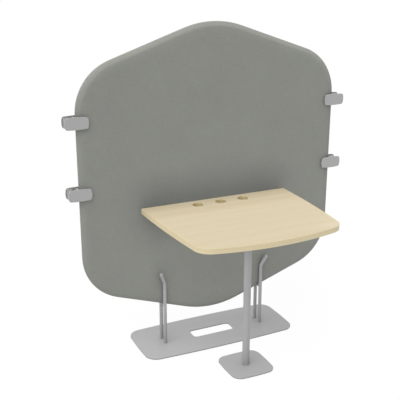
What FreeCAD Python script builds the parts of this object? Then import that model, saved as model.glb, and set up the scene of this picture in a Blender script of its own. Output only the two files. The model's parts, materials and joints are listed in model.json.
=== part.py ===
import FreeCAD, Part
import math
import os

# Desk with a padded privacy screen. All lengths are in millimetres.
# The pieces are built about the screen's middle plane: +X is the sitter's right,
# +Y points from the sitter to the screen, +Z is up and Z = 0 is the floor.
# On export everything moves back so that the origin is the middle of the footprint.

# Screen: a hexagon with an upright side left and right and a blunt point above and below
SCREEN_WIDTH = 1300.0
SCREEN_SIDE = 991.0
SCREEN_POINT_RISE = 225.0
SCREEN_MIDDLE_Z = 840.0
SCREEN_SIDE_RADIUS = 236.0
SCREEN_POINT_RADIUS = 440.0
SCREEN_THICKNESS = 32.0
SCREEN_EDGE_RADIUS = 15.0
COVER_THICKNESS = 1.0
CORE_THICKNESS = 18.0
PAD_RIM = 11.0

# Stand: base plate, rods and cradle bars
FLOOR_PAD_HEIGHT = 2.0
FLOOR_PAD_RADIUS = 14.0
BASE_WIDTH = 797.0
BASE_DEPTH = 324.0
BASE_THICKNESS = 6.0
BASE_END_BOW = 5.0
BASE_SIDE_BOW = 11.0
BASE_CORNER_RADIUS = 60.0
BASE_SLOT_WIDTH = 219.0
BASE_SLOT_DEPTH = 72.0
BASE_SLOT_RADIUS = 18.0
BASE_PAD_INSET = 55.0
PLATE_EDGE_RADIUS = 1.5
ROD_SPREAD = 524.0
ROD_RADIUS = 8.5
ROD_STRAIGHT_TOP_Z = 313.0
ROD_BEND_RADIUS = 50.0
ROD_BEND_ANGLE = 28.0
ROD_TIP_LENGTH = 52.0
ROD_TIP_TURN = 37.0
ROD_TIP_ROUND = 1.5
CRADLE_BAR_RADIUS = 5.0
CRADLE_SPIGOT_RADIUS = 3.0
CRADLE_SPIGOT_LENGTH = 5.0

# Desktop
DESK_HEIGHT = 720.0
DESK_THICKNESS = 25.0
DESK_WIDTH = 746.0
DESK_DEPTH = 607.0
DESK_SCREEN_GAP = 16.0
DESK_FRONT_TAPER = 37.5
DESK_SIDE_BOW = 8.5
DESK_FRONT_BOW = 50.0
DESK_CORNER_RADIUS = 75.0
DESK_REAR_RADIUS = 3.0
DESK_EDGE_ROUND = 1.5
EDGING_THICKNESS = 2.0
CABLE_HOLE_RADIUS = 25.0
CABLE_HOLE_PITCH = 117.0
CABLE_HOLE_INSET = 58.0
CABLE_HOLE_BEVEL = 0.8

# Leg and foot
LEG_INSET = 333.0
LEG_RADIUS = 16.8
LEG_WALL = 2.0
LEG_PLUG_LENGTH = 25.0
LEG_TOP_PLATE_SIZE = 120.0
LEG_TOP_PLATE_THICKNESS = 5.0
LEG_TOP_PLATE_RADIUS = 15.0
LEG_SCREW_INSET = 18.0
FOOT_SIZE = 214.0
FOOT_THICKNESS = 6.0
FOOT_BOW = 5.0
FOOT_CORNER_RADIUS = 45.0
FOOT_PAD_INSET = 42.0

# Angle brackets between the screen and the desktop
BRACKET_SPREAD = 500.0
BRACKET_WIDTH = 40.0
BRACKET_DROP = 80.0
BRACKET_REACH = 110.0
BRACKET_THICKNESS = 4.0
BRACKET_BEND_RADIUS = 4.0
BRACKET_BOLT_PITCH = 32.0
BRACKET_SCREW_PITCH = 26.0
BRACKET_HOLE_INSET = 16.0
INSERT_RADIUS = 5.0
INSERT_LENGTH = 13.0

# Link clips on the screen's upright edges
CLIP_UPPER_Z = 1136.5
CLIP_LOWER_Z = 818.0
CLIP_LENGTH = 107.0
CLIP_HEIGHT = 55.0
CLIP_END_BOW = 4.0
CLIP_SIDE_BOW = 2.5
CLIP_CORNER_RADIUS = 11.0
CLIP_PLATE_THICKNESS = 6.0
CLIP_GRIP = 54.0
CLIP_WEB_THICKNESS = 8.0
CLIP_WEB_HEIGHT = 46.0
CLIP_SCREW_PITCH = 22.0
CLIP_THREAD_DEPTH = 4.0
LINER_THICKNESS = 5.0
LINER_MARGIN = 7.0

# Screws: shank radius of each kind, how deep it holds, and the standard head for a shank
ROD_SCREW_RADIUS = 4.0
ROD_SCREW_GRIP = 18.0
FOOT_BOLT_RADIUS = 5.0
WOOD_SCREW_RADIUS = 2.25
WOOD_SCREW_GRIP = 16.0
CLIP_SCREW_RADIUS = 2.5
BRACKET_BOLT_RADIUS = 3.0
HEAD_RADIUS_RATIO = 1.8
SOCKET_WIDTH_RATIO = 1.25
SOCKET_DEPTH_RATIO = 0.55

# Clearances
FIXED_GAP = 0.1
MOVING_GAP = 0.3

# Two places nearer than this count as one
SAME_PLACE = 1e-4

# Places that follow from the sizes
UP = FreeCAD.Vector(0, 0, 1)
RIGHT = FreeCAD.Vector(1, 0, 0)
FORWARD = FreeCAD.Vector(0, -1, 0)
BACKWARD = FreeCAD.Vector(0, 1, 0)
SIDES = {"left": -1, "right": 1}
FACES = {"front": -1, "rear": 1}
CLIP_LEVELS = {"upper": CLIP_UPPER_Z, "lower": CLIP_LOWER_Z}
HALF_SCREEN = SCREEN_THICKNESS / 2
BASE_TOP_Z = FLOOR_PAD_HEIGHT + BASE_THICKNESS
FOOT_TOP_Z = FLOOR_PAD_HEIGHT + FOOT_THICKNESS
ROD_X = ROD_SPREAD / 2
ROD_Y = HALF_SCREEN + MOVING_GAP + ROD_RADIUS
DESK_UNDER_Z = DESK_HEIGHT - DESK_THICKNESS
DESK_REAR_Y = -HALF_SCREEN - DESK_SCREEN_GAP
DESK_FRONT_Y = DESK_REAR_Y - DESK_DEPTH
LEG_Y = DESK_REAR_Y - LEG_INSET
LEG_TOP_Z = DESK_UNDER_Z - LEG_TOP_PLATE_THICKNESS
CLIP_FACE_Y = HALF_SCREEN + MOVING_GAP + LINER_THICKNESS
MIDDLE_Y = (DESK_FRONT_Y + BASE_DEPTH / 2) / 2


def point(x, y, z=0.0):
    return FreeCAD.Vector(x, y, z)


def turned(shape, axis, angle, place):
    """Turn a shape about an axis through the origin, then carry it to its place."""
    result = shape.copy()
    result.rotate(point(0, 0, 0), axis, angle)
    result.translate(place)
    return result


def box(low, high):
    """A block from its lowest to its highest corner."""
    return Part.makeBox(high[0] - low[0], high[1] - low[1], high[2] - low[2], point(*low))


def arc(first, middle, last):
    return Part.Arc(first, middle, last).toShape()


def upright_edges(shape):
    """The edges that run along Z."""
    boxes = [(edge, edge.BoundBox) for edge in shape.Edges]
    return [edge for edge, bounds in boxes if bounds.ZLength > max(bounds.XLength, bounds.YLength)]


def edges_at_height(shape, height):
    """The edges that lie in the level plane at one height."""
    boxes = [(edge, edge.BoundBox) for edge in shape.Edges]
    return [edge for edge, b in boxes if max(abs(b.ZMin - height), abs(b.ZMax - height)) < SAME_PLACE]


def bowed_plate(width, depth, end_bow, side_bow, corner_radius, thickness):
    """A level plate with four bowed sides, round corners and a softened top edge."""
    x, y = width / 2, depth / 2
    corners = [point(-x + end_bow, -y + side_bow), point(x - end_bow, -y + side_bow)]
    corners += [point(x - end_bow, y - side_bow), point(-x + end_bow, y - side_bow)]
    crowns = [point(0, -y), point(x, 0), point(0, y), point(-x, 0)]
    sides = [arc(corners[i], crowns[i], corners[(i + 1) % 4]) for i in range(4)]
    plate = Part.Face(Part.Wire(sides)).extrude(UP * thickness)
    plate = plate.makeFillet(corner_radius, upright_edges(plate))
    return plate.makeFillet(PLATE_EDGE_RADIUS, edges_at_height(plate, thickness))


def rounded_block(width, depth, height, corner_radius):
    """A level block centred on the origin, standing on Z = 0, with round upright edges."""
    block = box((-width / 2, -depth / 2, 0), (width / 2, depth / 2, height))
    return block.makeFillet(corner_radius, upright_edges(block))


def rounded_outline(corners, radii):
    """A closed wire through the corners, each one rounded to its own radius."""
    edges = []
    starts, ends = [], []
    count = len(corners)
    for i in range(count):
        here = corners[i]
        back = (corners[i - 1] - here).normalize()
        ahead = (corners[(i + 1) % count] - here).normalize()
        half_angle = back.getAngle(ahead) / 2
        reach = radii[i] / math.tan(half_angle)
        inward = (back + ahead).normalize()
        crown = here + inward * (radii[i] / math.sin(half_angle) - radii[i])
        starts.append(here + back * reach)
        ends.append(here + ahead * reach)
        edges.append(arc(starts[i], crown, ends[i]))
    for i in range(count):
        edges.insert(2 * i + 1, Part.LineSegment(ends[i], starts[(i + 1) % count]).toShape())
    return Part.Wire(edges)


def hexagon_outline(inset):
    """The screen's outline, drawn in by an inset, on the plane Y = 0."""
    slope = math.atan2(SCREEN_POINT_RISE, SCREEN_WIDTH / 2)
    side_x = SCREEN_WIDTH / 2 - inset
    shoulder = SCREEN_SIDE / 2 + inset * math.tan(slope) - inset / math.cos(slope)
    tip = SCREEN_SIDE / 2 + SCREEN_POINT_RISE - inset / math.cos(slope)
    lower = [(-side_x, -shoulder), (0, -tip), (side_x, -shoulder)]
    upper = [(side_x, shoulder), (0, tip), (-side_x, shoulder)]
    corners = [point(x, 0, SCREEN_MIDDLE_Z + height) for x, height in lower + upper]
    side, tip_round = SCREEN_SIDE_RADIUS - inset, SCREEN_POINT_RADIUS - inset
    return rounded_outline(corners, [side, tip_round, side, side, tip_round, side])


def hexagon_slab(inset, thickness):
    """The screen's outline, drawn in by an inset, as a slab centred on Y = 0."""
    slab = Part.Face(hexagon_outline(inset)).extrude(BACKWARD * thickness)
    slab.translate(FORWARD * (thickness / 2))
    return slab


def padded_slab(inset):
    """The upholstered screen, drawn in by an inset all over, with its round edge."""
    slab = hexagon_slab(inset, SCREEN_THICKNESS - 2 * inset)
    rims = [edge for edge in slab.Edges if edge.BoundBox.YLength < SAME_PLACE]
    return slab.makeFillet(SCREEN_EDGE_RADIUS - inset, rims)


def half_of(shape, face):
    """The half of a screen piece on one side of the middle plane."""
    low_y, high_y = sorted((0, FACES[face] * SCREEN_THICKNESS))
    top_z = SCREEN_MIDDLE_Z + SCREEN_SIDE / 2 + SCREEN_POINT_RISE
    return shape.common(box((-SCREEN_WIDTH, low_y, 0), (SCREEN_WIDTH, high_y, top_z)))


def screen_bottom_z(x):
    """Height of the screen's sloping bottom edge at a distance from the middle."""
    return SCREEN_MIDDLE_Z - SCREEN_SIDE / 2 - SCREEN_POINT_RISE * (1 - 2 * abs(x) / SCREEN_WIDTH)


def head_height(radius):
    """Height of a screw head with a 90 degree cone."""
    return radius * (HEAD_RADIUS_RATIO - 1)


def hex_socket(radius):
    """The key's recess in a screw head that faces -Z at the origin."""
    corner = point(radius * SOCKET_WIDTH_RATIO / math.sqrt(3), 0)
    corners = [turned(Part.Vertex(corner), UP, 60 * i, point(0, 0)).Point for i in range(7)]
    return Part.Face(Part.makePolygon(corners)).extrude(UP * (head_height(radius) * SOCKET_DEPTH_RATIO))


def countersunk_screw(radius, length):
    """A flush screw along +Z with its flat head at the origin."""
    head = Part.makeCone(radius * HEAD_RADIUS_RATIO, radius, head_height(radius))
    return head.fuse(Part.makeCylinder(radius, length)).removeSplitter().cut(hex_socket(radius))


def countersunk_hole(radius, length):
    """The room that a flush screw needs."""
    head = Part.makeCone(radius * HEAD_RADIUS_RATIO + FIXED_GAP, radius + FIXED_GAP, head_height(radius))
    return head.fuse(Part.makeCylinder(radius + FIXED_GAP, length + FIXED_GAP))


def button_bolt(radius, length):
    """A round-headed bolt along +Z that bears on Z = 0."""
    under = -head_height(radius)
    head = Part.makeCylinder(radius * HEAD_RADIUS_RATIO, -under, point(0, 0, under))
    head = head.makeFillet(-under / 2, edges_at_height(head, under))
    socket = turned(hex_socket(radius), UP, 0, point(0, 0, under))
    return head.fuse(Part.makeCylinder(radius, length)).removeSplitter().cut(socket)


def at_places(shape, places):
    """Copies of one shape, as a group of separate solids."""
    return Part.makeCompound([turned(shape, UP, 0, place) for place in places])


def floor_pads(places):
    """Round pads standing on the floor."""
    return at_places(Part.makeCylinder(FLOOR_PAD_RADIUS, FLOOR_PAD_HEIGHT), places)


def rod(side, face):
    """An upright with its top bent outwards and away from the screen."""
    turn = math.radians(ROD_TIP_TURN)
    outward = point(SIDES[side] * math.cos(turn), FACES[face] * math.sin(turn))
    tilt = math.radians(ROD_BEND_ANGLE)
    foot = point(SIDES[side] * ROD_X, FACES[face] * ROD_Y, BASE_TOP_Z)
    bend_start = point(foot.x, foot.y, ROD_STRAIGHT_TOP_Z)
    centre = bend_start + outward * ROD_BEND_RADIUS

    def on_bend(angle):
        return centre + (UP * math.sin(angle) - outward * math.cos(angle)) * ROD_BEND_RADIUS

    bend_end = on_bend(tilt)
    tip = bend_end + (outward * math.sin(tilt) + UP * math.cos(tilt)) * ROD_TIP_LENGTH
    path = Part.Wire([
        Part.LineSegment(foot, bend_start).toShape(),
        arc(bend_start, on_bend(tilt / 2), bend_end),
        Part.LineSegment(bend_end, tip).toShape(),
    ])
    profile = Part.Wire(Part.makeCircle(ROD_RADIUS, foot, UP))
    bar = path.makePipeShell([profile], True, False)
    rim = max(bar.Edges, key=lambda edge: edge.BoundBox.ZMax)
    bar = bar.makeFillet(ROD_TIP_ROUND, [rim])
    bar = bar.cut(Part.makeCylinder(ROD_SCREW_RADIUS + FIXED_GAP, ROD_SCREW_GRIP + FIXED_GAP, foot))
    return bar.cut(cradle_spigots(side, FIXED_GAP))


def cradle_centre(side):
    """Middle of a cradle bar: just below the sloping bottom edge of the screen."""
    slope = math.atan2(SCREEN_POINT_RISE, SCREEN_WIDTH / 2)
    drop = (CRADLE_BAR_RADIUS + MOVING_GAP) / math.cos(slope)
    return point(SIDES[side] * ROD_X, 0, screen_bottom_z(ROD_X) - drop)


def cradle_spigots(side, gap):
    """The thin ends of a cradle bar, which reach into both rods."""
    half_length = ROD_Y - ROD_RADIUS + CRADLE_SPIGOT_LENGTH + gap
    start = cradle_centre(side) + FORWARD * half_length
    return Part.makeCylinder(CRADLE_SPIGOT_RADIUS + gap, 2 * half_length, start, BACKWARD)


def cradle_bar(side):
    """A bar from the front rod to the rear rod that carries the screen."""
    start = cradle_centre(side) + FORWARD * ROD_Y
    bar = Part.makeCylinder(CRADLE_BAR_RADIUS, 2 * ROD_Y, start, BACKWARD)
    for face in FACES.values():
        foot = point(SIDES[side] * ROD_X, face * ROD_Y, BASE_TOP_Z)
        bar = bar.cut(Part.makeCylinder(ROD_RADIUS + FIXED_GAP, ROD_STRAIGHT_TOP_Z, foot))
    return bar.fuse(cradle_spigots(side, 0)).removeSplitter()


def rod_screw_places():
    return [point(x * ROD_X, y * ROD_Y, FLOOR_PAD_HEIGHT) for x in SIDES.values() for y in FACES.values()]


def base_plate():
    """The screen's plate, with a slot in the middle and screw holes under the rods."""
    bows = (BASE_END_BOW, BASE_SIDE_BOW)
    plate = bowed_plate(BASE_WIDTH, BASE_DEPTH, *bows, BASE_CORNER_RADIUS, BASE_THICKNESS)
    plate = plate.cut(rounded_block(BASE_SLOT_WIDTH, BASE_SLOT_DEPTH, BASE_THICKNESS, BASE_SLOT_RADIUS))
    plate.translate(UP * FLOOR_PAD_HEIGHT)
    return plate.cut(at_places(countersunk_hole(ROD_SCREW_RADIUS, BASE_THICKNESS), rod_screw_places()))


def stand():
    """Base plate with its pads, the four rods, their screws and the cradle bars."""
    pad_x, pad_y = BASE_WIDTH / 2 - BASE_PAD_INSET, BASE_DEPTH / 2 - BASE_PAD_INSET
    pads = [point(x * pad_x, y * pad_y) for x in (-1, 0, 1) for y in (-1, 1)]
    screw = countersunk_screw(ROD_SCREW_RADIUS, BASE_THICKNESS + ROD_SCREW_GRIP)
    nodes = {"base_plate": base_plate(), "base_floor_pads": floor_pads(pads)}
    nodes["rod_screws"] = at_places(screw, rod_screw_places())
    for side in SIDES:
        nodes[f"cradle_bar_{side}"] = cradle_bar(side)
        for face in FACES:
            nodes[f"{face}_rod_{side}"] = rod(side, face)
    return nodes


def bracket_bolt_places():
    """Where the bracket bolts pass the screen's front face."""
    middle_z = DESK_UNDER_Z - BRACKET_DROP / 2 - BRACKET_THICKNESS / 2
    rows = [middle_z - BRACKET_BOLT_PITCH / 2, middle_z + BRACKET_BOLT_PITCH / 2]
    return [point(x * BRACKET_SPREAD / 2, -HALF_SCREEN, z) for x in SIDES.values() for z in rows]


def screen():
    """Core board, foam pads and cloth covers, with threaded inserts for the desk brackets."""
    core = hexagon_slab(COVER_THICKNESS + PAD_RIM, CORE_THICKNESS)
    outside = padded_slab(0)
    filling = padded_slab(COVER_THICKNESS)
    cover = outside.cut(filling)
    padding = filling.cut(core)
    nodes = {}
    for face in FACES:
        nodes[f"screen_{face}_cover"] = half_of(cover, face)
        nodes[f"screen_{face}_pad"] = half_of(padding, face)
    soft_depth = HALF_SCREEN - CORE_THICKNESS / 2
    inserts = []
    for place in bracket_bolt_places():
        passage = Part.makeCylinder(BRACKET_BOLT_RADIUS + MOVING_GAP, soft_depth, place, BACKWARD)
        nodes["screen_front_cover"] = nodes["screen_front_cover"].cut(passage)
        nodes["screen_front_pad"] = nodes["screen_front_pad"].cut(passage)
        seat = place + BACKWARD * soft_depth
        core = core.cut(Part.makeCylinder(INSERT_RADIUS + FIXED_GAP, INSERT_LENGTH, seat, BACKWARD))
        thread = Part.makeCylinder(BRACKET_BOLT_RADIUS + FIXED_GAP, INSERT_LENGTH, seat, BACKWARD)
        inserts.append(Part.makeCylinder(INSERT_RADIUS, INSERT_LENGTH, seat, BACKWARD).cut(thread))
    nodes["screen_core"] = core
    nodes["screen_inserts"] = Part.makeCompound(inserts)
    return nodes


def round_disc(through, inset, height):
    """A disc whose rim passes through three points, drawn in by an inset, with its seam at the far side."""
    circle = Part.Circle(*through)
    disc = Part.makeCylinder(circle.Radius - inset, height)
    away = circle.Center - through[1]
    return turned(disc, UP, math.degrees(math.atan2(away.y, away.x)), circle.Center)


def desk_block(inset):
    """The desktop without its cable holes, drawn in by an inset: round sides and front, straight rear."""
    half_rear, half_front = DESK_WIDTH / 2, DESK_WIDTH / 2 - DESK_FRONT_TAPER
    shoulder_y = DESK_FRONT_Y + DESK_FRONT_BOW
    side_x, side_y = (half_rear + half_front) / 2 + DESK_SIDE_BOW, (DESK_REAR_Y + shoulder_y) / 2
    fronts = [point(x * half_front, shoulder_y) for x in SIDES.values()]
    block = round_disc([fronts[0], point(0, DESK_FRONT_Y), fronts[1]], inset, DESK_THICKNESS)
    for sign, front in zip(SIDES.values(), fronts):
        side = [front, point(sign * side_x, side_y), point(sign * half_rear, DESK_REAR_Y)]
        block = block.common(round_disc(side, inset, DESK_THICKNESS))
    rear_y = DESK_REAR_Y - inset
    block = block.common(box((-DESK_WIDTH, DESK_FRONT_Y, 0), (DESK_WIDTH, rear_y, DESK_THICKNESS)))
    front_edges = [edge for edge in upright_edges(block) if edge.CenterOfMass.y < side_y]
    block = block.makeFillet(DESK_CORNER_RADIUS - inset, front_edges)
    rear_edges = [edge for edge in upright_edges(block) if edge.CenterOfMass.y > rear_y - SAME_PLACE]
    block = block.makeFillet(DESK_REAR_RADIUS - inset, rear_edges)
    block.translate(UP * DESK_UNDER_Z)
    return block


def leg_screw_places():
    offset = LEG_TOP_PLATE_SIZE / 2 - LEG_SCREW_INSET
    return [point(x * offset, LEG_Y + y * offset, LEG_TOP_Z) for x in (-1, 1) for y in (-1, 1)]


def bracket_screw_places():
    first_y = -HALF_SCREEN - BRACKET_REACH + BRACKET_HOLE_INSET
    rows = [first_y + i * BRACKET_SCREW_PITCH for i in range(3)]
    under_z = DESK_UNDER_Z - BRACKET_THICKNESS
    return [point(x * BRACKET_SPREAD / 2, y, under_z) for x in SIDES.values() for y in rows]


def desktop():
    """The board, its edging in two lengths, and the holes through the board."""
    block = desk_block(0)
    board = desk_block(EDGING_THICKNESS)
    rims = edges_at_height(block, DESK_UNDER_Z) + edges_at_height(block, DESK_HEIGHT)
    edging = block.makeFillet(DESK_EDGE_ROUND, rims).cut(board)
    cut_y = DESK_REAR_Y - EDGING_THICKNESS
    rear_zone = box((-DESK_WIDTH, cut_y, 0), (DESK_WIDTH, DESK_REAR_Y, DESK_HEIGHT))
    for i in (-1, 0, 1):
        place = point(i * CABLE_HOLE_PITCH, DESK_REAR_Y - CABLE_HOLE_INSET, DESK_UNDER_Z)
        board = board.cut(Part.makeCylinder(CABLE_HOLE_RADIUS, DESK_THICKNESS, place))
        bevel_place = place + UP * (DESK_THICKNESS - CABLE_HOLE_BEVEL)
        wide = CABLE_HOLE_RADIUS + CABLE_HOLE_BEVEL
        board = board.cut(Part.makeCone(CABLE_HOLE_RADIUS, wide, CABLE_HOLE_BEVEL, bevel_place))
    pilot = Part.makeCylinder(WOOD_SCREW_RADIUS + FIXED_GAP, WOOD_SCREW_GRIP + FIXED_GAP)
    screw_places = leg_screw_places() + bracket_screw_places()
    board = board.cut(at_places(pilot, [point(place.x, place.y, DESK_UNDER_Z) for place in screw_places]))
    return {
        "desktop_board": board,
        "desktop_edging": edging.cut(rear_zone),
        "desktop_rear_edging": edging.common(rear_zone),
    }


def bracket(side):
    """A bent steel angle: one leg on the screen, one under the desktop."""
    half = BRACKET_WIDTH / 2
    rear_y, low_z = -HALF_SCREEN, DESK_UNDER_Z - BRACKET_DROP
    centre_x = SIDES[side] * BRACKET_SPREAD / 2
    outer = box((centre_x - half, rear_y - BRACKET_REACH, low_z), (centre_x + half, rear_y, DESK_UNDER_Z))
    inner_high = (centre_x + half, rear_y - BRACKET_THICKNESS, DESK_UNDER_Z - BRACKET_THICKNESS)
    inner = box((centre_x - half, rear_y - BRACKET_REACH, low_z), inner_high)
    bend = point(centre_x, inner_high[1], inner_high[2])
    corner = [edge for edge in inner.Edges if edge.CenterOfMass.distanceToPoint(bend) < SAME_PLACE]
    angle = outer.cut(inner.makeFillet(BRACKET_BEND_RADIUS, corner))
    bolt_hole = Part.makeCylinder(BRACKET_BOLT_RADIUS + MOVING_GAP, BRACKET_THICKNESS, point(0, 0), FORWARD)
    screw_hole = countersunk_hole(WOOD_SCREW_RADIUS, BRACKET_THICKNESS)
    angle = angle.cut(at_places(bolt_hole, bracket_bolt_places()))
    return angle.cut(at_places(screw_hole, bracket_screw_places()))


def desk_fixings():
    """Brackets with the bolts into the screen and the screws into the desktop."""
    nodes = {f"desk_bracket_{side}": bracket(side) for side in SIDES}
    bolt_length = BRACKET_THICKNESS + HALF_SCREEN - CORE_THICKNESS / 2 + INSERT_LENGTH
    bolt = turned(button_bolt(BRACKET_BOLT_RADIUS, bolt_length), RIGHT, -90, point(0, 0))
    heads = [place + FORWARD * BRACKET_THICKNESS for place in bracket_bolt_places()]
    nodes["bracket_bolts"] = at_places(bolt, heads)
    screw = countersunk_screw(WOOD_SCREW_RADIUS, BRACKET_THICKNESS + WOOD_SCREW_GRIP)
    nodes["bracket_screws"] = at_places(screw, bracket_screw_places())
    return nodes


def leg():
    """Leg tube with its top plate, threaded plug, foot plate, bolt, screws and pads."""
    floor = point(0, LEG_Y)
    foot_top = floor + UP * FOOT_TOP_Z
    foot_under = floor + UP * FLOOR_PAD_HEIGHT
    bore = LEG_RADIUS - LEG_WALL
    tube_length = LEG_TOP_Z - FOOT_TOP_Z
    tube = Part.makeCylinder(LEG_RADIUS, tube_length, foot_top)
    thread = Part.makeCylinder(FOOT_BOLT_RADIUS + FIXED_GAP, LEG_PLUG_LENGTH, foot_top)
    foot = bowed_plate(FOOT_SIZE, FOOT_SIZE, FOOT_BOW, FOOT_BOW, FOOT_CORNER_RADIUS, FOOT_THICKNESS)
    foot.translate(foot_under)
    bolt = countersunk_screw(FOOT_BOLT_RADIUS, FOOT_THICKNESS + LEG_PLUG_LENGTH)
    bolt_hole = countersunk_hole(FOOT_BOLT_RADIUS, FOOT_THICKNESS)
    pad_offset = FOOT_SIZE / 2 - FOOT_PAD_INSET
    pads = [point(x * pad_offset, LEG_Y + y * pad_offset) for x in (-1, 1) for y in (-1, 1)]
    top_size, top_thickness = LEG_TOP_PLATE_SIZE, LEG_TOP_PLATE_THICKNESS
    top_plate = rounded_block(top_size, top_size, top_thickness, LEG_TOP_PLATE_RADIUS)
    top_plate.translate(floor + UP * LEG_TOP_Z)
    screw = countersunk_screw(WOOD_SCREW_RADIUS, top_thickness + WOOD_SCREW_GRIP)
    screw_holes = at_places(countersunk_hole(WOOD_SCREW_RADIUS, top_thickness), leg_screw_places())
    return {
        "leg_tube": tube.cut(Part.makeCylinder(bore, tube_length, foot_top)),
        "leg_plug": Part.makeCylinder(bore - FIXED_GAP, LEG_PLUG_LENGTH, foot_top).cut(thread),
        "leg_top_plate": top_plate.cut(screw_holes),
        "leg_top_screws": at_places(screw, leg_screw_places()),
        "foot_plate": foot.cut(turned(bolt_hole, UP, 0, foot_under)),
        "foot_bolt": turned(bolt, UP, 0, foot_under),
        "foot_floor_pads": floor_pads(pads),
    }


def clip_plate(face):
    """A clip's plate, standing against one face of the screen, with its softened edge outside."""
    bows = (CLIP_END_BOW, CLIP_SIDE_BOW)
    plate = bowed_plate(CLIP_LENGTH, CLIP_HEIGHT, *bows, CLIP_CORNER_RADIUS, CLIP_PLATE_THICKNESS)
    return turned(plate, RIGHT, -90 * FACES[face], point(0, FACES[face] * CLIP_FACE_Y))


def clip(level, side):
    """A link clip: two plates joined by a web, with screws from behind and felt liners."""
    sign = SIDES[side]
    middle = point(sign * (SCREEN_WIDTH / 2 - CLIP_GRIP + CLIP_LENGTH / 2), 0, CLIP_LEVELS[level])
    web_x = sign * (SCREEN_WIDTH / 2 + MOVING_GAP + CLIP_WEB_THICKNESS / 2)
    half_web, half_height = CLIP_WEB_THICKNESS / 2, CLIP_WEB_HEIGHT / 2
    web = box((web_x - half_web, -CLIP_FACE_Y, -half_height), (web_x + half_web, CLIP_FACE_Y, half_height))
    web.translate(UP * CLIP_LEVELS[level])
    plates = {face: clip_plate(face) for face in FACES}
    for plate in plates.values():
        plate.translate(middle)
    head_y = CLIP_FACE_Y + CLIP_PLATE_THICKNESS
    length = head_y + CLIP_FACE_Y + CLIP_THREAD_DEPTH
    rows = [CLIP_LEVELS[level] + way * CLIP_SCREW_PITCH / 2 for way in (-1, 1)]
    heads = [point(web_x, head_y, row) for row in rows]
    screw = turned(countersunk_screw(CLIP_SCREW_RADIUS, length), RIGHT, 90, point(0, 0))
    holes = at_places(turned(countersunk_hole(CLIP_SCREW_RADIUS, length), RIGHT, 90, point(0, 0)), heads)
    name = f"clip_{level}_{side}"
    return {
        f"{name}_front_plate": plates["front"].cut(holes),
        f"{name}_rear_plate": plates["rear"].cut(holes),
        f"{name}_web": web.cut(holes),
        f"{name}_screws": at_places(screw, heads),
        f"{name}_liners": clip_liners(middle, web_x),
    }


def clip_liners(middle, web_x):
    """Felt strips inside both plates, on the screen's flat face and in the outer socket."""
    reach = CLIP_LENGTH / 2 - LINER_MARGIN
    inner_end = abs(web_x) - SCREEN_WIDTH / 2 + SCREEN_EDGE_RADIUS
    half_height = CLIP_HEIGHT / 2 - LINER_MARGIN
    strips = []
    for way in (-1, 1):
        ends = sorted((web_x + way * inner_end, middle.x + way * reach))
        for face in FACES.values():
            depths = sorted((face * (CLIP_FACE_Y - LINER_THICKNESS), face * CLIP_FACE_Y))
            low = (ends[0], depths[0], middle.z - half_height)
            strips.append(box(low, (ends[1], depths[1], middle.z + half_height)))
    return Part.makeCompound(strips)


def all_nodes():
    nodes = {**stand(), **screen(), **desktop(), **desk_fixings(), **leg()}
    for level in CLIP_LEVELS:
        for side in SIDES:
            nodes.update(clip(level, side))
    return nodes


os.makedirs("parts", exist_ok=True)
for name, shape in all_nodes().items():
    shape.translate(point(0, -MIDDLE_Y))
    shape.exportStep(f"parts/{name}.step")
    print(name, len(shape.Solids), round(shape.Volume, 1), shape.isValid())
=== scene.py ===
import json
import math

import bpy
import numpy as np
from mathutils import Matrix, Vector


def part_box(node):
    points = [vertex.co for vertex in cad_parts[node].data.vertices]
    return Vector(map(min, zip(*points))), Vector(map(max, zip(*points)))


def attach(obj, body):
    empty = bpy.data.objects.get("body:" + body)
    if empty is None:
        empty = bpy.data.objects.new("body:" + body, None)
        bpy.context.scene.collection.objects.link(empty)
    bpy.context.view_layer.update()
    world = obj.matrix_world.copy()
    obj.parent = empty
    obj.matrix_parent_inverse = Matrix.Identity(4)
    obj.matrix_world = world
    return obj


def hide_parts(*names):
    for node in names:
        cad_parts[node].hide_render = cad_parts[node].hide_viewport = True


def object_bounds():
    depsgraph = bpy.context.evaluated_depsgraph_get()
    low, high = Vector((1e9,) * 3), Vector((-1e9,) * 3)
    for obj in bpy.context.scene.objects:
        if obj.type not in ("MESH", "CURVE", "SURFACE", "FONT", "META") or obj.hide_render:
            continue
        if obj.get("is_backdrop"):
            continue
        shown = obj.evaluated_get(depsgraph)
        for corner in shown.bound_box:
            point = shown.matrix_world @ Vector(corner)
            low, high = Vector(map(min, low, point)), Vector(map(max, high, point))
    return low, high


# A desk with a padded privacy screen, dressed around its solids. Lengths are in metres.
# +X is the sitter's right, +Y points from the sitter to the screen, +Z is up.
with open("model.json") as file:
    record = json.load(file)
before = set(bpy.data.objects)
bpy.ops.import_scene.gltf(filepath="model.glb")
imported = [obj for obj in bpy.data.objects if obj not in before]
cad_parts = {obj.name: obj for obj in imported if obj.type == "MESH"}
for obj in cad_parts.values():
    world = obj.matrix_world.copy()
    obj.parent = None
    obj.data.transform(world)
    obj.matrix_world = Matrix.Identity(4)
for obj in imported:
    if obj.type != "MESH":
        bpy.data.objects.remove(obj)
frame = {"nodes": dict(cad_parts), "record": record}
SOLID_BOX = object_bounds()

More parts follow.
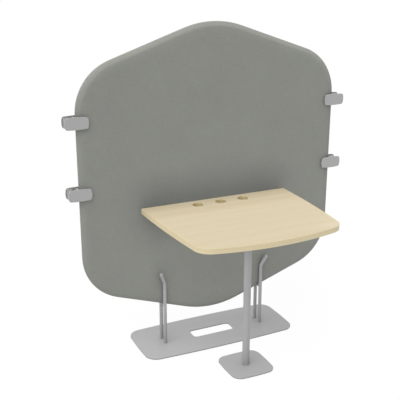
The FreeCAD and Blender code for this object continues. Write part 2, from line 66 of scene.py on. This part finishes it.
# The screen's outline and edge, as its solids have them
COVER_LOW, COVER_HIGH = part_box("screen_front_cover")
CORE_LOW, CORE_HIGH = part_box("screen_core")
SCREEN_WIDTH = COVER_HIGH.x - COVER_LOW.x
SCREEN_HEIGHT = COVER_HIGH.z - COVER_LOW.z
SCREEN_MIDDLE_Z = (COVER_LOW.z + COVER_HIGH.z) / 2
SEAM_Y = COVER_HIGH.y
SCREEN_SIDE = 0.991
SCREEN_POINT_RISE = 0.225
SCREEN_SIDE_RADIUS = 0.236
SCREEN_POINT_RADIUS = 0.440
CORE_INSET = (SCREEN_WIDTH - CORE_HIGH.x + CORE_LOW.x) / 2
CORE_HALF = (CORE_HIGH.y - CORE_LOW.y) / 2
PLATE_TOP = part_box("base_plate")[1].z

# Cushions: a depth is measured from the seam, in the middle of the screen's thickness
CUSHION_FACE = 0.0150
CUSHION_CREST = 0.0012
CUSHION_SWELL = 0.0009
CUSHION_CELL = 0.020
CORNER_POINTS = 90
EDGE_WIDTH = 0.023
EDGE_POWER = 1.5
EDGE_STEPS = 8
HELD_FROM = EDGE_STEPS // 2
SWELL_FRAMES = 20
SWELL_PRESSURE = 4.0

# Past its crest a cushion turns in along the seam, by steps in and depths, to a pocket for the core board
SEAM_LIP = [(0.0005, 0.0008), (0.0016, 0.0006), (0.0046, 0.0004)]
CORE_PLAY = 0.0004
POCKET_ROUND = 0.0010

# Stitches in a row on each side of the seam, each a round bead of size 1 drawn out to its length
STITCH_PITCH = 0.0065
STITCH_LENGTH = 0.0046
STITCH_THICKNESS = 0.0009
STITCH_DEPTH = 0.0062
STITCH_BEAD = {"Segments": 6, "Rings": 4, "Radius": 0.5}

# The cloth's pattern lies on a map of its own; the hidden pocket takes a small corner of it
PATTERN_MAP = "OFBake"
PATTERN_MARGIN = 0.03
PATTERN_SPAN = SCREEN_HEIGHT + 2 * PATTERN_MARGIN
POCKET_SHARE = 0.03
POCKET_CORNER = (0.95, 0.02)
THREAD_PITCH = 0.0021
THREAD_SWAY = (0.0008, 0.0008, 0.0)
# Painted light: how much paler the cloth is made where it faces up
TOP_PAINTED_LIGHT = 1.22

# Colours, as written for the light below
CLOTH_GREY = (0.303, 0.309, 0.281)
THREAD_GREY = (0.352, 0.358, 0.328)
STAND_GREY = (0.446, 0.446, 0.449)
# Painted shade: how dark the plates' upright edges near the floor are made
PLATE_EDGE_PAINTED_SHADE = 0.70
CLIP_GREY = (0.455, 0.455, 0.453)
MAPLE_PALE = (0.776, 0.679, 0.487)
MAPLE_WARM = (0.704, 0.593, 0.399)
EDGING_PALE = (0.806, 0.695, 0.463)
EDGING_WARM = (0.756, 0.635, 0.403)
RAW_BOARD = (0.600, 0.470, 0.245)
CORE_BOARD = (0.450, 0.340, 0.220)
ZINC = (0.520, 0.530, 0.540)
BRASS = (0.700, 0.520, 0.250)
RUBBER = (0.030, 0.030, 0.030)
FELT = (0.600, 0.600, 0.590)

# How fine the maple's grain is along X, Y and Z, in waves to a metre
TOP_GRAIN = (5.0, 210.0, 210.0)
EDGING_GRAIN = (9.0, 9.0, 420.0)

# Camera, fitted to the edges of the desk and screen in the picture, which is 400 by 400
CAMERA_PLACE = (-1.4934, -2.8318, 1.8350)
CAMERA_TURN = (71.60, 0.0, -24.96)
CAMERA_LENS = 67.80
CAMERA_SENSOR = 36.0

# Light: even light from all round and key lamps, together about 1 on a level surface. A lamp's vector
# points to where it stands, and is as long as the light is strong on a surface that faces it.
LIGHT_AROUND = 0.64
OPEN_KEY = (-0.100, -0.045, 0.123)
SHADING_KEY = (-0.154, -0.105, 0.287)
FLOOR_KEY = (-0.252, -0.232, 0.492)
KEY_SPREAD = 50.0
CORNER_SHADE_REACH = 0.20

# Floor and backdrop
FLOOR_SIZE = 80.0
WHITE = (1.0, 1.0, 1.0, 1.0)
FLOOR_WHITE = 0.97
FLOOR_GLOW = 0.94


class Wiring:
    """Short ways to add nodes to a node tree and to wire them."""

    def __init__(self, tree):
        self.nodes = tree.nodes
        self.links = tree.links

    def feed(self, socket, value):
        """Link another node's output to a socket, or set a constant on it."""
        if isinstance(value, bpy.types.NodeSocket):
            self.links.new(value, socket)
        else:
            socket.default_value = value

    def add(self, kind, inputs=None, **settings):
        """Add a node, set it up, feed its inputs and give its outputs."""
        node = self.nodes.new(kind)
        for name, value in settings.items():
            setattr(node, name, value)
        for name, value in (inputs or {}).items():
            self.feed(node.inputs[name], value)
        return node.outputs

    def between(self, value, low, high, to_low=0.0, to_high=1.0):
        """Spread the range from low to high over another range, and stop at its ends."""
        inputs = {"Value": value, "From Min": low, "From Max": high, "To Min": to_low, "To Max": to_high}
        return self.add("ShaderNodeMapRange", inputs)["Result"]

    def math(self, operation, first, second=0.0):
        """One or two numbers worked out by a Math node."""
        return self.add("ShaderNodeMath", {0: first, 1: second}, operation=operation)[0]


class Finish(Wiring):
    """A material being made, with one Principled shader."""

    def __init__(self, name):
        self.material = bpy.data.materials.new(name)
        self.material.use_nodes = True
        super().__init__(self.material.node_tree)
        self.shader = self.nodes["Principled BSDF"]

    def set(self, **inputs):
        """Feed the shader's own sockets, named with _ for a space."""
        for name, value in inputs.items():
            self.feed(self.shader.inputs[name.replace("_", " ")], value)

    def place(self):
        """Object coordinates, in metres."""
        return self.add("ShaderNodeTexCoord")["Object"]

    def parts(self, vector):
        """A vector's X, Y and Z."""
        return self.add("ShaderNodeSeparateXYZ", {"Vector": vector})

    def upward(self, normal="True Normal"):
        """How much the surface faces up: 1 on top, 0 on upright faces, -1 underneath."""
        return self.parts(self.add("ShaderNodeNewGeometry")[normal])["Z"]

    def stretch(self, place, scale):
        """Coordinates scaled by an amount of their own along each axis."""
        return self.add("ShaderNodeMapping", {"Vector": place, "Scale": scale})["Vector"]

    def noise(self, place, scale=1.0, detail=2.0, distortion=0.0):
        """Soft random values around 0.5."""
        inputs = {"Vector": place, "Scale": scale, "Detail": detail, "Distortion": distortion}
        return self.add("ShaderNodeTexNoise", inputs)["Fac"]

    def mix(self, share, first, second, way="MIX"):
        """Two colours mixed, or joined in another way such as MULTIPLY."""
        inputs = {0: share, 6: first, 7: second}
        return self.add("ShaderNodeMix", inputs, data_type="RGBA", blend_type=way)[2]

    def bump(self, height, distance, strength):
        """Give the shader a fine relief."""
        inputs = {"Height": height, "Distance": distance, "Strength": strength}
        self.set(Normal=self.add("ShaderNodeBump", inputs)["Normal"])


def tone(colour, factor=1.0):
    """A colour made lighter or darker, with its alpha."""
    return tuple(part * factor for part in colour) + (1.0,)


def powder_coat(name, colour):
    """Satin powder coat: a faint orange peel, fine specks and slow drifts of tone and gloss.

    The upright edges of the plates on the floor are darkened with a painted shade.
    """
    finish = Finish(name)
    place = finish.place()
    drift = finish.noise(place, scale=5.0, detail=3.0)
    speck = finish.noise(place, scale=900.0, detail=1.0)
    paint = finish.mix(finish.between(drift, 0.3, 0.7), tone(colour, 0.98), tone(colour, 1.02))
    paint = finish.mix(finish.between(speck, 0.60, 0.75, 0.0, 0.35), paint, tone(colour, 1.12))
    # Painted shade on the plates' upright edges near the floor
    low = finish.math("LESS_THAN", finish.parts(place)["Z"], PLATE_TOP)
    upright = finish.between(finish.math("ABSOLUTE", finish.upward()), 0.3, 0.8, 1.0, 0.0)
    paint = finish.mix(finish.math("MULTIPLY", low, upright), paint, tone(colour, PLATE_EDGE_PAINTED_SHADE))
    gloss = finish.between(drift, 0.3, 0.7, 0.42, 0.52)
    finish.set(Base_Color=paint, Roughness=gloss, Specular_IOR_Level=0.2)
    finish.bump(finish.noise(place, scale=420.0), distance=0.0004, strength=0.25)
    return finish.material


def woven_cloth(name, colour):
    """Plain-woven wool cloth: crossing threads, slubs, a slow mottle, a soft sheen, and painted light that
    makes it paler where it faces up.
    """
    finish = Finish(name)
    pattern = finish.add("ShaderNodeUVMap", uv_map=PATTERN_MAP)["UV"]
    flat = finish.stretch(pattern, (PATTERN_SPAN, PATTERN_SPAN, 1.0))
    sway = finish.add("ShaderNodeTexNoise", {"Vector": flat, "Scale": 45.0})["Color"]
    sway = finish.add("ShaderNodeVectorMath", {0: sway, 1: THREAD_SWAY}, operation="MULTIPLY")[0]
    flat = finish.add("ShaderNodeVectorMath", {0: flat, 1: sway}, operation="ADD")[0]
    turns = math.pi / THREAD_PITCH
    parts = finish.parts(flat)
    across, along = (finish.math("SINE", finish.math("MULTIPLY", parts[way], turns)) for way in "XY")
    crossing = finish.math("MULTIPLY", across, along)
    over = finish.between(crossing, -0.25, 0.25)
    warp = finish.between(finish.noise(finish.stretch(flat, (500.0, 22.0, 1.0)), detail=3.0), 0.35, 0.65)
    weft = finish.between(finish.noise(finish.stretch(flat, (22.0, 500.0, 1.0)), detail=3.0), 0.35, 0.65)
    yarn = finish.mix(over, weft, warp)
    mottle = finish.between(finish.noise(flat, scale=6.0, detail=4.0), 0.3, 0.7, 0.975, 1.025)
    dyed = finish.mix(yarn, tone(colour, 0.93), tone(colour, 1.07))
    dyed = finish.mix(1.0, dyed, mottle, "MULTIPLY")
    # Painted light: the cloth is paler where it faces up, as if lit from above
    painted_top_light = finish.between(finish.upward(), 0.0, 0.4, 1.0, TOP_PAINTED_LIGHT)
    dyed = finish.mix(1.0, dyed, painted_top_light, "MULTIPLY")
    finish.set(Base_Color=dyed, Roughness=0.92, Specular_IOR_Level=0.2)
    finish.set(Sheen_Weight=0.10, Sheen_Roughness=0.45)
    ridges = finish.math("ADD", finish.math("ABSOLUTE", across), finish.math("ABSOLUTE", along))
    weave = finish.math("ADD", finish.math("MULTIPLY", ridges, 0.5), over)
    finish.bump(weave, distance=0.0004, strength=0.5)
    return finish.material


def maple(name, pale, warm, grain, hole_walls):
    """Satin maple: straight low-contrast grain, fine pores and, inside its holes, the raw board."""
    finish = Finish(name)
    place = finish.place()
    along = finish.stretch(place, grain)
    bands = finish.noise(along, scale=0.06, detail=3.0, distortion=0.6)
    fibre = finish.noise(along, detail=4.0)
    pores = finish.noise(along, scale=4.0, detail=1.0)
    figure = finish.math("ADD", finish.math("MULTIPLY", bands, 0.55), finish.math("MULTIPLY", fibre, 0.45))
    wood = finish.mix(finish.between(figure, 0.36, 0.64), tone(pale), tone(warm))
    wood = finish.mix(finish.between(pores, 0.62, 0.78, 0.0, 0.35), wood, tone(warm, 0.82))
    if hole_walls:
        chips = finish.between(finish.noise(place, scale=320.0, detail=3.0), 0.35, 0.65)
        raw = finish.mix(chips, tone(RAW_BOARD, 0.8), tone(RAW_BOARD, 1.2))
        level = finish.between(finish.math("ABSOLUTE", finish.upward("Normal")), 0.85, 0.95)
        wood = finish.mix(level, raw, wood)
    gloss = finish.between(fibre, 0.3, 0.7, 0.40, 0.50)
    finish.set(Base_Color=wood, Roughness=gloss, Specular_IOR_Level=0.2)
    finish.bump(fibre, distance=0.0002, strength=0.15)
    return finish.material


def raw_board(name, colour):
    """Pressed wood chips."""
    finish = Finish(name)
    chips = finish.noise(finish.place(), scale=260.0, detail=3.0)
    board = finish.mix(finish.between(chips, 0.35, 0.65), tone(colour, 0.8), tone(colour, 1.15))
    finish.set(Base_Color=board, Roughness=0.85)
    finish.bump(chips, distance=0.0004, strength=0.4)
    return finish.material


def bare_metal(name, colour, roughness):
    """Plated or turned metal with a fine cloudy grain."""
    finish = Finish(name)
    place = finish.place()
    cloud = finish.noise(place, scale=60.0, detail=3.0)
    grain = finish.noise(place, scale=1400.0, detail=1.0)
    metal = finish.mix(finish.between(cloud, 0.3, 0.7), tone(colour, 0.9), tone(colour, 1.08))
    gloss = finish.between(cloud, 0.3, 0.7, roughness - 0.06, roughness + 0.08)
    finish.set(Base_Color=metal, Metallic=1.0, Roughness=gloss)
    finish.bump(grain, distance=0.0001, strength=0.2)
    return finish.material


def soft_matte(name, colour, grain_scale, sheen):
    """Rubber or felt: matte, with a fine grain and, for felt, a fuzzy sheen."""
    finish = Finish(name)
    grain = finish.noise(finish.place(), scale=grain_scale, detail=4.0)
    shade = finish.mix(finish.between(grain, 0.3, 0.7), tone(colour, 0.75), tone(colour, 1.3))
    finish.set(Base_Color=shade, Roughness=0.9, Specular_IOR_Level=0.25, Sheen_Weight=sheen)
    finish.bump(grain, distance=0.0004, strength=0.5)
    return finish.material


def dress_solids():
    """Give every node of the solids the finish of its material slot."""
    finishes = {
        "stand_paint": powder_coat("stand_powder_coat", STAND_GREY),
        "clip_paint": powder_coat("clip_powder_coat", CLIP_GREY),
        "core_board": raw_board("core_chipboard", CORE_BOARD),
        "maple_board": maple("maple_top", MAPLE_PALE, MAPLE_WARM, TOP_GRAIN, hole_walls=True),
        "maple_edging": maple("maple_edge_band", EDGING_PALE, EDGING_WARM, EDGING_GRAIN, hole_walls=False),
        "zinc_steel": bare_metal("zinc_plate", ZINC, roughness=0.34),
        "insert_brass": bare_metal("turned_brass", BRASS, roughness=0.30),
        "floor_rubber": soft_matte("pad_rubber", RUBBER, grain_scale=500.0, sheen=0.0),
        "liner_felt": soft_matte("liner_felt", FELT, grain_scale=900.0, sheen=0.3),
    }
    for subpart in frame["record"]["subparts"]:
        for slot in frame["nodes"][subpart["node"]].material_slots:
            slot.material = finishes.get(subpart["material_slot"], slot.material)


def screen_outline(inset):
    """Points (x, z) and outward normals along the screen's outline, drawn in by an inset.

    They run anticlockwise as the sitter sees them, in steps of about CUSHION_CELL, from the middle
    of the lower left corner. Also gives the steps along the bottom and along a side.
    """
    slope = math.atan2(SCREEN_POINT_RISE, SCREEN_WIDTH / 2)
    side_x = SCREEN_WIDTH / 2 - inset
    shoulder = SCREEN_SIDE / 2 + inset * math.tan(slope) - inset / math.cos(slope)
    tip = SCREEN_SIDE / 2 + SCREEN_POINT_RISE - inset / math.cos(slope)
    side, blunt = SCREEN_SIDE_RADIUS - inset, SCREEN_POINT_RADIUS - inset
    lower = [(-side_x, -shoulder, side), (0.0, -tip, blunt), (side_x, -shoulder, side)]
    corners = lower + [(-x, -z, radius) for x, z, radius in lower] + lower[:1]
    turns = [math.pi, 1.5 * math.pi - slope, 1.5 * math.pi + slope, 2 * math.pi]
    turns += [turn + math.pi for turn in turns[1:]] + [turns[1] + 2 * math.pi]
    x, z, facing, middles = [], [], [], []
    for (corner_x, corner_z, radius), first, last in zip(corners, turns, turns[1:]):
        middle, reach = (first + last) / 2, radius / math.cos((last - first) / 2)
        bend = np.linspace(first, last, CORNER_POINTS)
        x.append(corner_x - reach * math.cos(middle) + radius * np.cos(bend))
        z.append(corner_z - reach * math.sin(middle) + radius * np.sin(bend))
        facing.append(bend)
        middles.append(middle)
    x, z, facing = (np.concatenate(values) for values in (x, z, facing))
    length = np.concatenate([[0.0], np.hypot(np.diff(x), np.diff(z)).cumsum()])
    # The bottom, right, top and left runs end at the middles of the four side corners
    ends = np.interp([middles[i] for i in (0, 2, 3, 5, 6)], facing, length)
    across, up = (round(run / CUSHION_CELL) for run in np.diff(ends)[:2])
    runs = zip(ends, ends[1:], (across, up, across, up))
    steps = np.concatenate([np.linspace(*run, endpoint=False) for run in runs])
    x, z, facing = (np.interp(steps, length, values) for values in (x, z, facing))
    points = np.stack([x, z + SCREEN_MIDDLE_Z], 1)
    return points, np.stack([np.cos(facing), np.sin(facing)], 1), across, up


def filled(rim, across, up):
    """A grid of points that fills a closed rim, which starts with its bottom."""
    closed = np.vstack([rim, rim[:1]])
    bottom, right = closed[:across + 1], closed[across:across + up + 1]
    top, left = closed[across + up:2 * across + up + 1][::-1], closed[2 * across + up:][::-1]
    u = np.linspace(0, 1, across + 1)[None, :, None]
    v = np.linspace(0, 1, up + 1)[:, None, None]
    sides = (1 - v) * bottom[None] + v * top[None] + (1 - u) * left[:, None] + u * right[:, None]
    corners = (1 - v) * ((1 - u) * bottom[0] + u * bottom[-1]) + v * ((1 - u) * top[0] + u * top[-1])
    return (sides - corners).reshape(-1, 2)


def grid_faces(across, up):
    """The grid's four-sided faces and its rim, anticlockwise as the sitter sees them."""
    number = np.arange((across + 1) * (up + 1)).reshape(up + 1, across + 1)
    corners = [number[:-1, :-1], number[:-1, 1:], number[1:, 1:], number[1:, :-1]]
    rim = np.concatenate([number[0, :-1], number[:-1, -1], number[-1, :0:-1], number[:0:-1, 0]])
    return np.stack([corner.ravel() for corner in corners], 1).tolist(), rim


def edge_profile():
    """The soft edge from the face to the seam, part of a slack ellipse: how far outwards, how deep."""
    turns = np.linspace(0, math.pi / 2, EDGE_STEPS + 1)[1:]
    out = EDGE_WIDTH * np.sin(turns) ** (2 / EDGE_POWER)
    depth = CUSHION_CREST + (CUSHION_FACE - CUSHION_CREST) * np.abs(np.cos(turns)) ** (2 / EDGE_POWER)
    return list(zip(out, depth)) + [(EDGE_WIDTH - inset, depth) for inset, depth in SEAM_LIP]


def pocket_profile():
    """The way on from the seam into the pocket that holds the core board."""
    seam_gap = SEAM_LIP[-1][1]
    out, floor = EDGE_WIDTH - CORE_INSET + CORE_PLAY, CORE_HALF + CORE_PLAY
    corner = [(out + POCKET_ROUND, seam_gap), (out, seam_gap), (out, seam_gap + POCKET_ROUND)]
    return corner + [(out, floor - POCKET_ROUND), (out, floor)]


def ring_faces(inner, outer):
    """Faces between two rings of vertex numbers."""
    return np.stack([inner, outer, np.roll(outer, -1), np.roll(inner, -1)], 1).tolist()


def swollen(points, faces, held):
    """The points after the foam has pressed the cloth out from inside, by CUSHION_SWELL at most.

    The held points, from half way round the edge to the seam, stay where they are.
    """
    mesh = bpy.data.meshes.new("swelling_cloth")
    mesh.from_pydata(points, [], faces)
    cloth = bpy.data.objects.new("swelling_cloth", mesh)
    scene = bpy.context.scene
    scene.collection.objects.link(cloth)
    cloth.vertex_groups.new(name="held").add(held, 1.0, "REPLACE")
    settings = cloth.modifiers.new("cloth", "CLOTH").settings
    settings.vertex_group_mass = "held"
    settings.use_pressure = True
    settings.uniform_pressure_force = SWELL_PRESSURE
    settings.effector_weights.gravity = 0.0
    for number in range(1, SWELL_FRAMES + 1):
        scene.frame_set(number)
    shaped = cloth.evaluated_get(bpy.context.evaluated_depsgraph_get()).data
    moved = np.array([vertex.co for vertex in shaped.vertices]) - points
    bpy.data.objects.remove(cloth)
    scene.frame_set(1)
    far = np.linalg.norm(moved, axis=1, keepdims=True) / CUSHION_SWELL
    return points + moved * np.divide(np.tanh(far), far, out=np.zeros_like(far), where=far > 0)


def cushion_shape():
    """One padded half: its points, faces and places on the pattern map, and where its pocket starts.

    The face comes first, then rings from its rim over the soft edge, through the seam and round into
    the pocket for the core board, and last the pocket's floor.
    """
    rim_points, normals, across, up = screen_outline(EDGE_WIDTH)
    face, rim = grid_faces(across, up)
    flat, faces = [filled(rim_points, across, up)], face
    depth = [np.full(len(flat[0]), CUSHION_FACE)]
    places, held, ring = [flat[0]], [], rim
    spread, last = 0.0, (0.0, CUSHION_FACE)
    edge, pocket = edge_profile(), pocket_profile()
    for step, (out, deep) in enumerate(edge + pocket):
        first = sum(len(part) for part in flat)
        next_ring = np.arange(len(rim)) + first
        spread += math.hypot(out - last[0], deep - last[1])
        flat.append(rim_points + normals * out)
        places.append(rim_points + normals * spread)
        depth.append(np.full(len(rim), deep))
        faces = faces + ring_faces(ring, next_ring)
        if HELD_FROM <= step < len(edge):
            held += next_ring.tolist()
        if step == len(edge) - 1:
            outer_faces, outer_points = len(faces), first + len(rim)
        last, ring = (out, deep), next_ring
    first = sum(len(part) for part in flat)
    flat.append(filled(rim_points + normals * (last[0] - POCKET_ROUND), across, up))
    places.append(flat[-1])
    depth.append(np.full(len(flat[-1]), last[1]))
    faces = faces + ring_faces(ring, rim + first) + (np.array(face)[:, ::-1] + first).tolist()
    flat, depth, places = np.vstack(flat), np.concatenate(depth), np.vstack(places)
    points = np.stack([flat[:, 0], SEAM_Y - depth, flat[:, 1]], 1)
    points[:outer_points] = swollen(points[:outer_points], faces[:outer_faces], held)
    return points, faces, places, outer_faces


def lay_pattern(mesh, places, outer_faces):
    """Lay the pattern map on a cushion: its cloth at full size, its hidden pocket small."""
    corners = np.empty(len(mesh.loops), int)
    mesh.loops.foreach_get("vertex_index", corners)
    outside = (places - np.array([-PATTERN_SPAN / 2, SCREEN_MIDDLE_Z - PATTERN_SPAN / 2])) / PATTERN_SPAN
    pocket = np.array(POCKET_CORNER) + POCKET_SHARE * outside
    hidden = np.arange(len(mesh.loops)) >= mesh.polygons[outer_faces].loop_start
    laid = np.where(hidden[:, None], pocket[corners], outside[corners])
    mesh.uv_layers.new(name=PATTERN_MAP).uv.foreach_set("vector", laid.astype(np.float32).ravel())


def screen_cushions(cloth):
    """The padded halves of the screen, front and rear, each with a pocket for the core board."""
    points, faces, places, outer_faces = cushion_shape()
    for side, sign in (("front", 1), ("rear", -1)):
        mesh = bpy.data.meshes.new(f"screen_{side}_cushion")
        half = points.copy()
        half[:, 1] = SEAM_Y + sign * (half[:, 1] - SEAM_Y)
        mesh.from_pydata(half, [], [face[::sign] for face in faces])
        lay_pattern(mesh, places, outer_faces)
        mesh.polygons.foreach_set("use_smooth", [True] * len(mesh.polygons))
        mesh.materials.append(cloth)
        cushion = bpy.data.objects.new(mesh.name, mesh)
        bpy.context.scene.collection.objects.link(cushion)
        finer = cushion.modifiers.new("finer", "SUBSURF")
        finer.levels = finer.render_levels = 1
        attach(cushion, "screen_and_desk")
        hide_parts(f"screen_{side}_cover", f"screen_{side}_pad")


def stitch_row_tree(thread):
    """Geometry nodes that lay one small stitch to each pitch along a closed path."""
    tree = bpy.data.node_groups.new("stitch_row", "GeometryNodeTree")
    tree.interface.new_socket("Path", in_out="INPUT", socket_type="NodeSocketGeometry")
    for size in ("Pitch", "Length", "Thickness"):
        tree.interface.new_socket(size, in_out="INPUT", socket_type="NodeSocketFloat")
    tree.interface.new_socket("Stitches", in_out="OUTPUT", socket_type="NodeSocketGeometry")
    add = Wiring(tree).add
    given = add("NodeGroupInput")
    path = add("GeometryNodeMeshToCurve", {"Mesh": given["Path"]})["Curve"]
    points = add("GeometryNodeCurveToPoints", {"Curve": path, "Length": given["Pitch"]}, mode="LENGTH")
    bead = add("GeometryNodeMeshUVSphere", STITCH_BEAD)["Mesh"]
    turn = add("FunctionNodeAlignRotationToVector", {"Vector": points["Tangent"]}, axis="X")["Rotation"]
    sizes = {"X": given["Length"], "Y": given["Thickness"], "Z": given["Thickness"]}
    scale = add("ShaderNodeCombineXYZ", sizes)["Vector"]
    placed = {"Points": points["Points"], "Instance": bead, "Rotation": turn, "Scale": scale}
    row = add("GeometryNodeInstanceOnPoints", placed)["Instances"]
    row = add("GeometryNodeRealizeInstances", {"Geometry": row})["Geometry"]
    row = add("GeometryNodeSetMaterial", {"Geometry": row, "Material": thread})["Geometry"]
    add("NodeGroupOutput", {"Stitches": row})
    return tree


def seam_stitches(thread):
    """A row of stitches beside the seam on both halves of the screen."""
    rim_points, normals, _, _ = screen_outline(EDGE_WIDTH)
    out, depth = np.array(edge_profile()[:EDGE_STEPS]).T
    row = rim_points + normals * np.interp(-STITCH_DEPTH, -depth, out)
    count = len(row)
    paths = [(x, SEAM_Y + side * STITCH_DEPTH, z) for side in (-1, 1) for x, z in row]
    edges = [(i + k, (i + 1) % count + k) for k in (0, count) for i in range(count)]
    mesh = bpy.data.meshes.new("screen_seam_stitches")
    mesh.from_pydata(paths, edges, [])
    stitches = bpy.data.objects.new(mesh.name, mesh)
    bpy.context.scene.collection.objects.link(stitches)
    tree = stitch_row_tree(thread)
    sizes = {"Pitch": STITCH_PITCH, "Length": STITCH_LENGTH, "Thickness": STITCH_THICKNESS}
    rows = stitches.modifiers.new("stitch_rows", "NODES")
    rows.node_group = tree
    for socket in tree.interface.items_tree:
        if socket.name in sizes:
            rows[socket.identifier] = sizes[socket.name]
    finished = stitches.evaluated_get(bpy.context.evaluated_depsgraph_get())
    stitches.data = bpy.data.meshes.new_from_object(finished)
    stitches.modifiers.remove(rows)
    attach(stitches, "screen_and_desk")


def pale_floor():
    """White for the eye, mostly by its own glow, so that the object's shadow stays faint on it."""
    finish = Finish("pale_floor")
    finish.set(Base_Color=tone(WHITE[:3], FLOOR_WHITE), Roughness=1.0, Specular_IOR_Level=0.0)
    glow = finish.add("ShaderNodeEmission", {"Color": WHITE, "Strength": 1.0})[0]
    both = finish.add("ShaderNodeMixShader", {0: FLOOR_GLOW, 1: finish.shader.outputs[0], 2: glow})[0]
    finish.feed(finish.nodes["Material Output"].inputs["Surface"], both)
    return finish.material


def set_sky():
    """White where it is seen, and weaker as light, which corners shade off over a short reach."""
    world = bpy.data.worlds.new("studio")
    scene = bpy.context.scene
    scene.world = world
    world.use_nodes = True
    sky = Wiring(world.node_tree)
    path = sky.add("ShaderNodeLightPath")
    clear = sky.math("MAXIMUM", path["Is Glossy Ray"], path["Is Transmission Ray"])
    seen = sky.math("MAXIMUM", path["Is Camera Ray"], clear)
    strength = sky.between(seen, 0.0, 1.0, LIGHT_AROUND, 1.0)
    sky.feed(sky.nodes["Background"].inputs["Color"], WHITE)
    sky.feed(sky.nodes["Background"].inputs["Strength"], strength)
    world.cycles.sampling_method = "NONE"
    world.light_settings.distance = CORNER_SHADE_REACH
    scene.cycles.use_fast_gi = True
    scene.cycles.fast_gi_method = "REPLACE"
    scene.cycles.ao_bounces_render = 1


def add_key_lamp(name, light, floor, floor_part, shadow=True):
    """A wide lamp for the floor alone or for all but the floor, with or without shadows."""
    lamp = bpy.data.lights.new(name, "SUN")
    lamp.energy = Vector(light).length * math.pi
    lamp.angle = math.radians(KEY_SPREAD)
    lamp.use_shadow = shadow
    sun = bpy.data.objects.new(name, lamp)
    sun.rotation_euler = Vector(light).to_track_quat("Z", "Y").to_euler()
    bpy.context.scene.collection.objects.link(sun)
    lit = bpy.data.collections.new(name + "_lit")
    lit.objects.link(floor)
    lit.collection_objects[0].light_linking.link_state = floor_part
    sun.light_linking.receiver_collection = lit


def set_stage():
    """A plain pale floor and soft studio light from the sitter's upper left."""
    floor = bpy.data.meshes.new("floor")
    half = FLOOR_SIZE / 2
    corners = [(-half, -half, 0), (half, -half, 0), (half, half, 0), (-half, half, 0)]
    floor.from_pydata(corners, [], [(0, 1, 2, 3)])
    floor.materials.append(pale_floor())
    floor_object = bpy.data.objects.new("floor", floor)
    # The floor takes the object's shadow, but neither lights nor shades the object
    floor_object.visible_diffuse = floor_object.visible_shadow = False
    bpy.context.scene.collection.objects.link(floor_object)
    floor_object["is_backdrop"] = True
    set_sky()
    add_key_lamp("open_key", OPEN_KEY, floor_object, "EXCLUDE", shadow=False)
    add_key_lamp("shading_key", SHADING_KEY, floor_object, "EXCLUDE")
    add_key_lamp("floor_key", FLOOR_KEY, floor_object, "INCLUDE")


def set_camera():
    """The camera at the picture's viewing angle."""
    lens = bpy.data.cameras.new("camera")
    lens.lens = CAMERA_LENS
    lens.sensor_width = CAMERA_SENSOR
    camera = bpy.data.objects.new("camera", lens)
    camera.location = CAMERA_PLACE
    camera.rotation_euler = [math.radians(turn) for turn in CAMERA_TURN]
    bpy.context.scene.collection.objects.link(camera)
    bpy.context.scene.camera = camera
    bpy.context.scene.view_settings.view_transform = "Standard"


set_camera()
set_stage()
dress_solids()
screen_cushions(woven_cloth("screen_cloth", CLOTH_GREY))
seam_stitches(soft_matte("seam_thread", THREAD_GREY, grain_scale=1500.0, sheen=0.2))

boxes = {"solids": SOLID_BOX, "dressed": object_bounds()}
boxes = {name: [list(corner) for corner in box] for name, box in boxes.items()}
